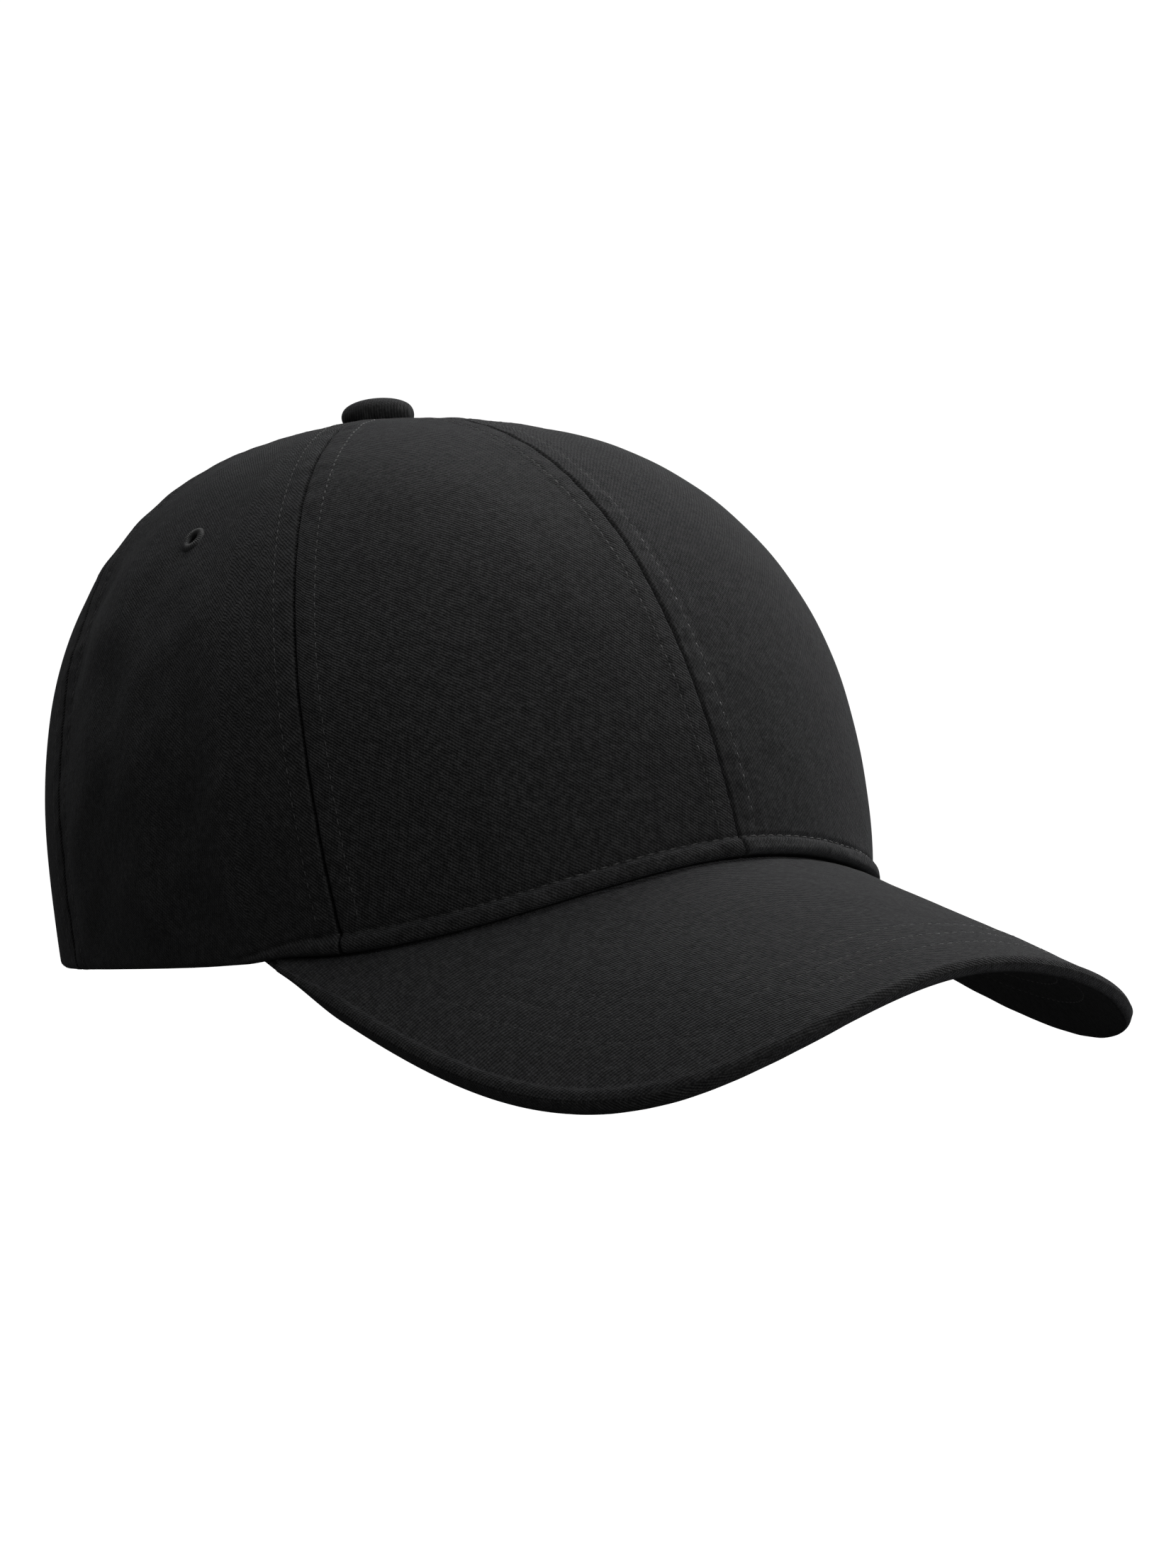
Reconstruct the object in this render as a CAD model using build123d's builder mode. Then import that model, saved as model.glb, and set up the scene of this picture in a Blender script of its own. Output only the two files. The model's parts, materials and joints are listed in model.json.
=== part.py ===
"""Six-panel baseball cap with a curved visor and an adjustable strap closure.

Units are millimetres. The origin is the centre of the head opening, in the plane of the rim.
+Z points up to the button, -Y points forward along the visor, +X is the wearer's left.
"""

from build123d import *
import os
from math import copysign, cos, radians, sin, tan

os.makedirs("parts", exist_ok=True)

# ---- Crown shape: a cubic Bezier wall in each direction, from the rim to the apex ----
RIM_LENGTH = 203.0
RIM_WIDTH = 164.0
APEX_SETBACK = 15.0
CROWN_HEIGHT = 117.0
WALL_HANDLE = 72.0
FRONT_LEAN, SIDE_LEAN, BACK_LEAN = -9.7, 14.3, -3.1
FRONT_SHOULDER, SIDE_SHOULDER, BACK_SHOULDER = 70.0, 59.4, 78.3
FRONT_SQUARENESS_AT_RIM, FRONT_SQUARENESS_GAIN = 2.06, 0.67
BACK_SQUARENESS_AT_RIM, BACK_SQUARENESS_GAIN = 2.12, -0.31
TOP_SHARE = 0.96
LEVEL_COUNT = 7
OUTLINE_POINTS = 16

# ---- Seams, as angles about the crown from the front centre ----
FRONT_SEAM = 0.0
SIDE_SEAM = 57.6
REAR_SEAM = 110.0
REAR_CENTRE = 180.0
SEAM_SHARES = (0.84, 0.68, 0.52, 0.36)
SEAM_OVERRUN = 1.8

# ---- Layers of the wall, as depths below the outer face ----
PANEL_BACK = 0.8
BACKING_FACE, BACKING_BACK = 0.85, 1.4
TAPE_FACE, TAPE_BACK = 1.45, 1.9
PADDING_FACE, PADDING_BACK = 2.1, 4.7
SWEATBAND_FACE, SWEATBAND_BACK = 4.8, 5.5
LABEL_FACE, LABEL_BACK = 5.65, 5.95

# ---- Visor: a slanted conical arch ----
VISOR_ROOT_HEIGHT = 12.7
VISOR_SLOPE = 18.0
VISOR_ARCH_RADIUS = 98.4
VISOR_ARCH_TAPER = 0.219
VISOR_REACH = 65.4
VISOR_OUTLINE_POWER = 3.2
VISOR_TIP_ANGLE = 70.4
VISOR_THICKNESS = 3.2
VISOR_COVER = 0.6
VISOR_ARC_START = 20.0
VISOR_OUTLINE_STEPS = 16
VISOR_SEAM_DEPTH = 1.9
BOARD_CLEARANCE = 0.05
BOARD_TIP_SETBACK = 12.0
UNDER_CUT = 34.0

# ---- Trim ----
TAPE_WIDTH = 15.0
TAPE_START_RADIUS = 20.0
BUTTON_RADIUS = 8.0
BUTTON_RISE = 5.2
BUTTON_COVER = 0.6
BUTTON_SEAT = 0.3
SHANK_RADIUS = 1.2
SHANK_HOLE = 1.4
BACK_PLATE_RADIUS = 5.5
BACK_PLATE_THICKNESS = 0.8
EYELET_HEIGHT = 90.0
EYELET_SIDE_ANGLE = 82.0
EYELET_REAR_ANGLE = 146.0
EYELET_RADIUS = 3.0
EYELET_BORE = 1.3
EYELET_PROUD = 0.35
EYELET_CLEARANCE = 0.05

# ---- Sweatband and label ----
SWEATBAND_HEIGHT = 34.0
SWEATBAND_REAR_GAP = 50.0
PADDING_REAR_GAP = 68.0
LABEL_LENGTH = 24.0
LABEL_BOTTOM, LABEL_TOP = 10.0, 30.0

# ---- Rear opening, strap and clasp; the strap is an arc about a vertical axis ----
ARCH_HALF_WIDTH = 48.0
ARCH_HEIGHT = 46.0
BINDING_WIDTH = 8.0
STRAP_CENTRE_Y = 22.0
STRAP_INNER, STRAP_OUTER = 75.0, 75.9
STRAP_BOTTOM, STRAP_TOP = 4.5, 21.5
STRAP_HALF_ANGLE = 52.0
CLASP_START, CLASP_END = 8.0, 29.0
CLASP_BOTTOM, CLASP_TOP = 2.6, 23.4
CLASP_WALL = 1.2
BASE_INNER, BASE_OUTER = 73.7, 74.5
RAIL_OUTER = 76.8
CHEEK_OUTER = 80.0
CHEEK_START = 18.0
PIN_ANGLE, PIN_ORBIT = 21.5, 78.6
PIN_RADIUS = 0.8
PIN_HOLE = 0.85
BAR_ANGLE, BAR_ORBIT = 27.0, 78.4
BAR_RADIUS = 1.0
LEVER_INNER, LEVER_OUTER = 77.0, 78.1
LEVER_TIP_ANGLE = 8.5
LEVER_LIP = 1.1
LEVER_LIP_SPAN = 1.6
LEVER_SIDE_GAP = 0.25
LEVER_HUB = 1.6
CAM_NOSE = 2.3
TAB_INNER, TAB_OUTER = 76.2, 76.8
TAB_END = 45.0
TAB_LOOP = 2.0
TAB_LOOP_BORE = 1.1
TAB_MARGIN = 0.5

FAR = 150.0


# ---- The crown surface ----
def wall_reach(share, rim, lean, shoulder):
    """Distance of a wall profile from the apex axis at one share of its Bezier curve."""
    rest = 1 - share
    return rest**3 * rim + 3 * rest**2 * share * (rim + lean) + 3 * rest * share**2 * shoulder


def wall_height(share, depth=0.0):
    """Height of the wall profiles at one share of their Bezier curves."""
    rest = 1 - share
    top = CROWN_HEIGHT - depth
    return 3 * rest**2 * share * WALL_HANDLE + (3 * rest * share**2 + share**3) * top


def crown_point(share, angle, depth=0.0):
    """Point of the crown at a Bezier share and an angle from the front, towards the wearer's left."""
    height = wall_height(share, depth)
    side = wall_reach(share, RIM_WIDTH / 2 - depth, SIDE_LEAN, SIDE_SHOULDER - depth)
    front = wall_reach(share, RIM_LENGTH / 2 + APEX_SETBACK - depth, FRONT_LEAN, FRONT_SHOULDER - depth)
    back = wall_reach(share, RIM_LENGTH / 2 - APEX_SETBACK - depth, BACK_LEAN, BACK_SHOULDER - depth)
    middle = APEX_SETBACK + (back - front) / 2
    half_length = (back + front) / 2
    across, along = sin(radians(angle)), cos(radians(angle))
    if along > 0:
        squareness = FRONT_SQUARENESS_AT_RIM + FRONT_SQUARENESS_GAIN * height / CROWN_HEIGHT
    else:
        squareness = BACK_SQUARENESS_AT_RIM + BACK_SQUARENESS_GAIN * height / CROWN_HEIGHT
    power = 2 / squareness
    x = side * copysign(abs(across) ** power, across)
    y = middle - half_length * copysign(abs(along) ** power, along)
    return Vector(x, y, height)


def share_at_height(height):
    """Bezier share at which the outer wall reaches a height."""
    low, high = 0.0, 1.0
    for _ in range(40):
        middle = (low + high) / 2
        if wall_height(middle) < height:
            low = middle
        else:
            high = middle
    return low


def crown_normal_plane(height, angle):
    """Plane tangent to the outer face, with its normal pointing outwards."""
    share = share_at_height(height)
    point = crown_point(share, angle)
    along_wall = crown_point(share + 0.01, angle) - point
    around = crown_point(share, angle + 1) - point
    normal = around.cross(along_wall).normalized()
    return Plane(origin=point, x_dir=around.normalized(), z_dir=normal)


def dome(depth):
    """Solid dome bounded by the crown surface at a depth below its outer face."""
    with BuildPart() as solid:
        for level in range(LEVEL_COUNT):
            share = TOP_SHARE * level / (LEVEL_COUNT - 1)
            with BuildSketch(Plane.XY.offset(wall_height(share, depth))):
                with BuildLine():
                    outline = [
                        crown_point(share, 360 * step / OUTLINE_POINTS, depth)
                        for step in range(OUTLINE_POINTS)
                    ]
                    Spline(*[(point.X, point.Y) for point in outline], periodic=True)
                make_face()
        loft()
    return solid.part


def shell(face, back):
    """Layer of the wall between two depths."""
    with BuildPart() as layer:
        add(DOMES[face])
        add(DOMES[back], mode=Mode.SUBTRACT)
    return layer.part


def seam_points(angle):
    """Plan points of a seam from the apex down to the upright wall, then straight out past it."""
    points = [(0.0, APEX_SETBACK)]
    for share in SEAM_SHARES:
        point = crown_point(share, angle)
        points.append((round(point.X, 6), round(point.Y, 6)))
    last = points[-1]
    out_x = last[0] * SEAM_OVERRUN
    out_y = APEX_SETBACK + (last[1] - APEX_SETBACK) * SEAM_OVERRUN
    return points, (out_x, out_y)


def panel_wedge(first, second):
    """Upright prism between two seams."""
    first_points, first_out = seam_points(first)
    second_points, second_out = seam_points(second)
    with BuildPart() as wedge:
        with BuildSketch():
            with BuildLine():
                Spline(*first_points)
                Polyline(first_points[-1], first_out, second_out, second_points[-1])
                Spline(*reversed(second_points))
            make_face()
        extrude(amount=CROWN_HEIGHT)
    return wedge.part


def seam_strip(angle, width):
    """Upright prism of constant width that follows a seam."""
    with BuildPart() as strip:
        with BuildSketch():
            with BuildLine():
                run, out = seam_points(angle)
                Spline(*run)
                Line(run[-1], out)
            trace(line_width=width)
        extrude(amount=CROWN_HEIGHT)
    return strip.part


# ---- The visor surface ----
def visor_section(ahead, upper, lower):
    """Arched section of the visor at a distance ahead of the crown's front, between two depths."""
    radius = VISOR_ARCH_RADIUS - VISOR_ARCH_TAPER * ahead
    slant = cos(radians(VISOR_SLOPE))
    centre = (0, VISOR_ROOT_HEIGHT - tan(radians(VISOR_SLOPE)) * ahead - radius / slant)
    sweep_angle = 180 - 2 * VISOR_ARC_START
    with BuildSketch(Plane.XZ.offset(RIM_LENGTH / 2 + ahead)) as section:
        with BuildLine():
            top = EllipticalCenterArc(
                centre, radius - upper, (radius - upper) / slant, VISOR_ARC_START, arc_size=sweep_angle
            )
            bottom = EllipticalCenterArc(
                centre, radius - lower, (radius - lower) / slant, VISOR_ARC_START, arc_size=sweep_angle
            )
            Line(top @ 0, bottom @ 0)
            Line(top @ 1, bottom @ 1)
        make_face()
    return section.sketch


def visor_band(upper, lower):
    """Conical arch between two depths below the visor's top face, from its tips to past its edge."""
    tip = crown_point(0, VISOR_TIP_ANGLE)
    tip_ahead = -tip.Y - RIM_LENGTH / 2
    with BuildPart() as band:
        loft([visor_section(tip_ahead, upper, lower), visor_section(VISOR_REACH + 5, upper, lower)], ruled=True)
    return band.part


def visor_blank(inset):
    """Upright prism of the visor's plan outline, a half superellipse from tip to tip."""
    tip = crown_point(0, VISOR_TIP_ANGLE)
    half_width = tip.X - inset
    reach = RIM_LENGTH / 2 + VISOR_REACH - inset + tip.Y
    power = 2 / VISOR_OUTLINE_POWER
    edge = []
    for step in range(VISOR_OUTLINE_STEPS + 1):
        turn = radians(180 * step / VISOR_OUTLINE_STEPS - 90)
        x = half_width * copysign(abs(sin(turn)) ** power, sin(turn))
        edge.append((x, tip.Y - reach * abs(cos(turn)) ** power))
    with BuildPart() as blank:
        with BuildSketch(Plane.XY.offset(-FAR / 2)):
            with BuildLine():
                Spline(*edge)
                Line(edge[-1], edge[0])
            make_face()
        extrude(amount=FAR)
    return blank.part


def rim_prism(depth):
    """Upright prism below the rim, with the outline of the crown at a depth below its outer face."""
    with BuildPart() as prism:
        with BuildSketch(Plane.XY.offset(-FAR / 2)):
            with BuildLine():
                outline = [crown_point(0, 360 * step / OUTLINE_POINTS, depth) for step in range(OUTLINE_POINTS)]
                Spline(*[(point.X, point.Y) for point in outline], periodic=True)
            make_face()
        extrude(amount=FAR / 2)
    return prism.part


def visor_layer(upper, lower, inset, crown_depth):
    """Piece of the visor between two depths, trimmed to its outline and to the crown."""
    with BuildPart() as layer:
        add(visor_band(upper, lower))
        add(visor_blank(inset), mode=Mode.INTERSECT)
        add(DOMES[crown_depth], mode=Mode.SUBTRACT)
        add(rim_prism(crown_depth), mode=Mode.SUBTRACT)
    return layer.part


# ---- Shared cutters ----
def arch_prism(margin):
    """Rear opening, grown by a margin, as a prism through the back of the crown."""
    with BuildPart() as prism:
        with BuildSketch(Plane.XZ.offset(-APEX_SETBACK)):
            Ellipse(ARCH_HALF_WIDTH + margin, ARCH_HEIGHT + margin)
        extrude(amount=-FAR)
    return prism.part


def block(x_low, x_high, y_low, y_high, z_low, z_high):
    """Plain box between two corners."""
    with BuildPart() as solid:
        with BuildSketch(Plane.XY.offset(z_low)):
            with Locations(((x_low + x_high) / 2, (y_low + y_high) / 2)):
                Rectangle(x_high - x_low, y_high - y_low)
        extrude(amount=z_high - z_low)
    return solid.part


def rear_arc(inner, outer, start, end, bottom, top):
    """Part of a ring about the strap's centre; angles run from the back towards the wearer's right."""
    centre = (0, STRAP_CENTRE_Y)
    with BuildPart() as arc:
        with BuildSketch(Plane.XY.offset(bottom)):
            with BuildLine():
                far = CenterArc(centre, outer, 90 + start, end - start)
                near = CenterArc(centre, inner, 90 + start, end - start)
                Line(far @ 0, near @ 0)
                Line(far @ 1, near @ 1)
            make_face()
        extrude(amount=top - bottom)
    return arc.part


def rear_spot(angle, orbit):
    """Plan point on a circle about the strap's centre, at an angle towards the wearer's right."""
    turn = radians(90 + angle)
    return (orbit * cos(turn), STRAP_CENTRE_Y + orbit * sin(turn))


def rod(spot, radius, bottom, top):
    """Upright round rod."""
    with BuildPart() as solid:
        with BuildSketch(Plane.XY.offset(bottom)):
            with Locations(spot):
                Circle(radius)
        extrude(amount=top - bottom)
    return solid.part


def finish(piece, name):
    """Label a finished piece and write its file."""
    piece.part.label = name
    export_step(piece.part, f"parts/{name}.step")


DOMES = {}
for layer_depth in (
    0.0, PANEL_BACK, BACKING_FACE, BACKING_BACK, TAPE_FACE, TAPE_BACK, VISOR_SEAM_DEPTH,
    PADDING_FACE, PADDING_BACK, SWEATBAND_FACE, SWEATBAND_BACK, LABEL_FACE, LABEL_BACK,
):
    DOMES[layer_depth] = dome(layer_depth)

under_visor_top = visor_band(0, UNDER_CUT)
under_visor = visor_band(VISOR_THICKNESS, UNDER_CUT)
rear_opening = arch_prism(0)
shank_hole = rod((0, APEX_SETBACK), SHANK_HOLE, CROWN_HEIGHT / 2, CROWN_HEIGHT + 1)


def eyelet_plane(side, angle):
    """Plane of an eyelet on the wearer's left (side 1) or right (side -1)."""
    return crown_normal_plane(EYELET_HEIGHT, side * angle)


# ---- Crown panels ----
outer_shell = shell(0.0, PANEL_BACK)
PANELS = (
    ("front", FRONT_SEAM, SIDE_SEAM, None),
    ("side", SIDE_SEAM, REAR_SEAM, EYELET_SIDE_ANGLE),
    ("rear", REAR_SEAM, REAR_CENTRE, EYELET_REAR_ANGLE),
)
for side, side_name in ((1, "left"), (-1, "right")):
    for place, start, end, eyelet_angle in PANELS:
        with BuildPart() as panel:
            add(outer_shell)
            add(panel_wedge(side * start, side * end), mode=Mode.INTERSECT)
            add(shank_hole, mode=Mode.SUBTRACT)
            if place == "rear":
                add(rear_opening, mode=Mode.SUBTRACT)
            else:
                add(under_visor_top, mode=Mode.SUBTRACT)
            if eyelet_angle is not None:
                with Locations(eyelet_plane(side, eyelet_angle)):
                    Cylinder(EYELET_RADIUS + EYELET_CLEARANCE, 6 * PANEL_BACK, mode=Mode.SUBTRACT)
        finish(panel, f"{place}_{side_name}_panel")

# ---- Stiff backing of the two front panels ----
backing_shell = shell(BACKING_FACE, BACKING_BACK)
for side, side_name in ((1, "left"), (-1, "right")):
    with BuildPart() as backing:
        add(backing_shell)
        add(panel_wedge(side * FRONT_SEAM, side * SIDE_SEAM), mode=Mode.INTERSECT)
        add(under_visor_top, mode=Mode.SUBTRACT)
        add(shank_hole, mode=Mode.SUBTRACT)
    finish(backing, f"front_{side_name}_buckram")

# ---- Seam tapes inside the crown ----
tape_shell = shell(TAPE_FACE, TAPE_BACK)
tape_start = rod((0, APEX_SETBACK), TAPE_START_RADIUS, 0, CROWN_HEIGHT)
bound_opening = arch_prism(BINDING_WIDTH)
TAPES = (
    ("front_centre_seam_tape", FRONT_SEAM),
    ("left_side_seam_tape", SIDE_SEAM),
    ("right_side_seam_tape", -SIDE_SEAM),
    ("left_rear_seam_tape", REAR_SEAM),
    ("right_rear_seam_tape", -REAR_SEAM),
    ("rear_centre_seam_tape", REAR_CENTRE),
)
for tape_name, seam_angle in TAPES:
    with BuildPart() as tape:
        add(tape_shell)
        add(seam_strip(seam_angle, TAPE_WIDTH), mode=Mode.INTERSECT)
        add(tape_start, mode=Mode.SUBTRACT)
        add(under_visor_top, mode=Mode.SUBTRACT)
        add(bound_opening, mode=Mode.SUBTRACT)
    finish(tape, tape_name)

# ---- Binding round the rear opening ----
with BuildPart() as arch_binding:
    add(backing_shell)
    add(bound_opening, mode=Mode.INTERSECT)
    add(rear_opening, mode=Mode.SUBTRACT)
finish(arch_binding, "rear_arch_binding")

# ---- Sweatband: foam padding behind a fabric face, open at the rear ----
band_top = block(-FAR, FAR, -FAR, FAR, SWEATBAND_HEIGHT, CROWN_HEIGHT)
for band_name, face, back, rear_gap in (
    ("sweatband_padding", PADDING_FACE, PADDING_BACK, PADDING_REAR_GAP),
    ("sweatband", SWEATBAND_FACE, SWEATBAND_BACK, SWEATBAND_REAR_GAP),
):
    with BuildPart() as band:
        add(shell(face, back))
        add(band_top, mode=Mode.SUBTRACT)
        add(under_visor, mode=Mode.SUBTRACT)
        add(block(-rear_gap, rear_gap, 0, FAR, -1, CROWN_HEIGHT), mode=Mode.SUBTRACT)
    finish(band, band_name)

# ---- Blank woven label on the sweatband, wearer's left ----
with BuildPart() as label:
    add(shell(LABEL_FACE, LABEL_BACK))
    label_block = block(0, FAR, -LABEL_LENGTH / 2, LABEL_LENGTH / 2, LABEL_BOTTOM, LABEL_TOP)
    add(label_block, mode=Mode.INTERSECT)
finish(label, "care_label")

# ---- Visor: stiff board between two fabric covers that meet at the edge ----
half_thickness = VISOR_THICKNESS / 2
board_face, board_back = VISOR_COVER, VISOR_THICKNESS - VISOR_COVER
board_tips = block(
    -FAR, FAR, crown_point(0, VISOR_TIP_ANGLE).Y - BOARD_TIP_SETBACK, FAR, -FAR / 2, FAR / 2
)
with BuildPart() as board:
    add(visor_layer(board_face, board_back, VISOR_COVER, 0.0))
    add(board_tips, mode=Mode.SUBTRACT)
finish(board, "visor_board")

board_pocket = visor_layer(
    board_face - BOARD_CLEARANCE, board_back + BOARD_CLEARANCE, VISOR_COVER - BOARD_CLEARANCE, 0.0
)
for cover_name, upper, lower in (
    ("visor_top_cover", 0, half_thickness),
    ("visor_bottom_cover", half_thickness, VISOR_THICKNESS),
):
    with BuildPart() as cover:
        add(visor_layer(upper, lower, 0, VISOR_SEAM_DEPTH))
        add(board_pocket, mode=Mode.SUBTRACT)
    finish(cover, cover_name)

# ---- Button: a covered metal shell and a back plate whose shank holds it through the apex ----
button_base = CROWN_HEIGHT + BUTTON_SEAT
with BuildPart() as button_cover:
    with BuildSketch(Plane.XZ.offset(-APEX_SETBACK)):
        with BuildLine():
            Line((0, button_base + BUTTON_RISE - BUTTON_COVER), (0, button_base + BUTTON_RISE))
            Spline(
                (0, button_base + BUTTON_RISE),
                (BUTTON_RADIUS * 0.82, button_base + BUTTON_RISE * 0.72),
                (BUTTON_RADIUS, button_base + BUTTON_RISE * 0.3),
                (BUTTON_RADIUS - BUTTON_COVER, button_base),
                tangents=((1, 0), (-0.6, -0.8)),
            )
            Line((BUTTON_RADIUS - BUTTON_COVER, button_base), (BUTTON_RADIUS - 3 * BUTTON_COVER, button_base))
            Spline(
                (BUTTON_RADIUS - 3 * BUTTON_COVER, button_base),
                (BUTTON_RADIUS - 2 * BUTTON_COVER, button_base + BUTTON_RISE * 0.34),
                (BUTTON_RADIUS * 0.72, button_base + BUTTON_RISE * 0.66),
                (0, button_base + BUTTON_RISE - BUTTON_COVER),
            )
        make_face()
    revolve(axis=Axis((0, APEX_SETBACK, 0), (0, 0, 1)))
finish(button_cover, "button_cover")

with BuildPart() as button_shell:
    with BuildSketch(Plane.XY.offset(button_base)):
        with Locations((0, APEX_SETBACK)):
            Circle(BUTTON_RADIUS * 0.62)
            Circle(SHANK_HOLE, mode=Mode.SUBTRACT)
    extrude(amount=BUTTON_RISE * 0.5)
finish(button_shell, "button_shell")

plate_top = CROWN_HEIGHT - TAPE_BACK - BUTTON_SEAT
with BuildPart() as back_plate:
    with BuildSketch(Plane.XY.offset(plate_top - BACK_PLATE_THICKNESS)):
        with Locations((0, APEX_SETBACK)):
            Circle(BACK_PLATE_RADIUS)
    extrude(amount=BACK_PLATE_THICKNESS)
    with BuildSketch(Plane.XY.offset(plate_top)):
        with Locations((0, APEX_SETBACK)):
            Circle(SHANK_RADIUS)
    extrude(amount=button_base + BUTTON_RISE * 0.45 - plate_top)
finish(back_plate, "button_back_plate")

# ---- Eyelets: sewn rings in the side and rear panels ----
eyelet_depth = PANEL_BACK + 2 * EYELET_PROUD
for side, side_name in ((1, "left"), (-1, "right")):
    for place, eyelet_angle in (("side", EYELET_SIDE_ANGLE), ("rear", EYELET_REAR_ANGLE)):
        seat = eyelet_plane(side, eyelet_angle)
        with BuildPart() as eyelet:
            with BuildSketch(seat.offset(EYELET_PROUD - eyelet_depth)):
                Circle(EYELET_RADIUS)
                Circle(EYELET_BORE, mode=Mode.SUBTRACT)
            extrude(amount=eyelet_depth)
        finish(eyelet, f"{place}_{side_name}_eyelet")

# ---- Strap across the rear opening; both ends lie in pockets behind the sweatband ----
with BuildPart() as strap:
    add(rear_arc(STRAP_INNER, STRAP_OUTER, -STRAP_HALF_ANGLE, STRAP_HALF_ANGLE, STRAP_BOTTOM, STRAP_TOP))
finish(strap, "strap")

# ---- Clasp frame: base plate, side rails, cheeks that carry the pin, and the tab's bar ----
pin_spot = rear_spot(PIN_ANGLE, PIN_ORBIT)
bar_spot = rear_spot(BAR_ANGLE, BAR_ORBIT)
with BuildPart() as clasp_frame:
    add(rear_arc(BASE_INNER, BASE_OUTER, CLASP_START, CLASP_END, CLASP_BOTTOM, CLASP_TOP))
    for wall_bottom in (CLASP_BOTTOM, CLASP_TOP - CLASP_WALL):
        wall_top = wall_bottom + CLASP_WALL
        add(rear_arc(BASE_INNER, RAIL_OUTER, CLASP_START, CLASP_END, wall_bottom, wall_top))
        add(rear_arc(BASE_INNER, CHEEK_OUTER, CHEEK_START, CLASP_END, wall_bottom, wall_top))
    add(rod(bar_spot, BAR_RADIUS, CLASP_BOTTOM, CLASP_TOP))
    add(rod(pin_spot, PIN_HOLE, CLASP_BOTTOM - 1, CLASP_TOP + 1), mode=Mode.SUBTRACT)
finish(clasp_frame, "clasp_frame")

with BuildPart() as clasp_pin:
    add(rod(pin_spot, PIN_RADIUS, CLASP_BOTTOM, CLASP_TOP))
finish(clasp_pin, "clasp_pin")

# ---- Clasp lever: a cam on the pin and a curved plate over the strap ----
lever_bottom = CLASP_BOTTOM + CLASP_WALL + LEVER_SIDE_GAP
lever_top = CLASP_TOP - CLASP_WALL - LEVER_SIDE_GAP
nose_spot = rear_spot(PIN_ANGLE, PIN_ORBIT - CAM_NOSE + LEVER_HUB / 2)
with BuildPart() as clasp_lever:
    add(rear_arc(LEVER_INNER, LEVER_OUTER, LEVER_TIP_ANGLE, PIN_ANGLE, lever_bottom, lever_top))
    lip_end = LEVER_TIP_ANGLE + LEVER_LIP_SPAN
    add(rear_arc(LEVER_INNER, LEVER_OUTER + LEVER_LIP, LEVER_TIP_ANGLE, lip_end, lever_bottom, lever_top))
    add(rod(pin_spot, LEVER_HUB, lever_bottom, lever_top))
    add(rod(nose_spot, LEVER_HUB / 2, lever_bottom, lever_top))
    add(rod(pin_spot, PIN_HOLE, lever_bottom - 1, lever_top + 1), mode=Mode.SUBTRACT)
finish(clasp_lever, "clasp_lever")

# ---- Fabric tab that ties the clasp's bar to the crown's right rear edge ----
tab_bottom = STRAP_BOTTOM + TAB_MARGIN
tab_top = STRAP_TOP - TAB_MARGIN
with BuildPart() as clasp_tab:
    add(rear_arc(TAB_INNER, TAB_OUTER, BAR_ANGLE, TAB_END, tab_bottom, tab_top))
    add(rod(bar_spot, TAB_LOOP, tab_bottom, tab_top))
    add(rod(bar_spot, TAB_LOOP_BORE, tab_bottom - 1, tab_top + 1), mode=Mode.SUBTRACT)
finish(clasp_tab, "clasp_tab")
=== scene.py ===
import json
import math

import bpy
import numpy as np
from mathutils import Matrix, Vector


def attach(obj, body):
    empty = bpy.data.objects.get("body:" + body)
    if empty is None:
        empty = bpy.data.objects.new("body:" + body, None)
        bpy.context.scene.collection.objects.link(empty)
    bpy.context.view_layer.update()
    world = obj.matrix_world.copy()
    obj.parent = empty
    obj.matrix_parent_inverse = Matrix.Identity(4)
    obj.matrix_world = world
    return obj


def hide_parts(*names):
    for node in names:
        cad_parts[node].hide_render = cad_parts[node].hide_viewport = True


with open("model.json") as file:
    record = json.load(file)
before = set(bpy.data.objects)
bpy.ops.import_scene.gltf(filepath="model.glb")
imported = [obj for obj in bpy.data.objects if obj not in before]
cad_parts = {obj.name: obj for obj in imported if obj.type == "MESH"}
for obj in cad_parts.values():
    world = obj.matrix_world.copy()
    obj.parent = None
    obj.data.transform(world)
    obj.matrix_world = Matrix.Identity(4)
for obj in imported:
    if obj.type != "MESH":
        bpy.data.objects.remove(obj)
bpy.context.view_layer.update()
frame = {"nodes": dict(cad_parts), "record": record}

MM = 0.001

# ---- Dimensions in millimetres, the same as the CAD model's ----
RIM_LENGTH, RIM_WIDTH, APEX_SETBACK, CROWN_HEIGHT, WALL_HANDLE = 203.0, 164.0, 15.0, 117.0, 72.0
FRONT_LEAN, SIDE_LEAN, BACK_LEAN = -9.7, 14.3, -3.1
FRONT_SHOULDER, SIDE_SHOULDER, BACK_SHOULDER = 70.0, 59.4, 78.3
FRONT_SQUARE, FRONT_SQUARE_GAIN, BACK_SQUARE, BACK_SQUARE_GAIN = 2.06, 0.67, 2.12, -0.31
SIDE_SEAM, REAR_SEAM, REAR_CENTRE = 57.6, 110.0, 180.0
VISOR_ROOT, VISOR_SLOPE, ARCH_RADIUS, ARCH_TAPER = 12.7, math.radians(18.0), 98.4, 0.219
VISOR_REACH, VISOR_POWER, TIP_ANGLE, VISOR_THICKNESS = 65.4, 3.2, 70.4, 3.2
OPENING_HALF_WIDTH, OPENING_HEIGHT, BINDING_WIDTH = 48.0, 46.0, 8.0
SWEATBAND_HEIGHT, SWEATBAND_GAP, PADDING_GAP = 34.0, 50.0, 68.0
STRAP_CENTRE, STRAP_RADIUS, STRAP_HALF_ANGLE = 22.0, 75.45, 52.0
STRAP_BOTTOM, STRAP_TOP = 4.5, 21.5
EYELET_HEIGHT, EYELET_RADIUS, EYELET_BORE = 90.0, 3.2, 1.3
EYELETS = {"side": 82.0, "rear": 146.0}
BUTTON_BASE = 117.0
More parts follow.
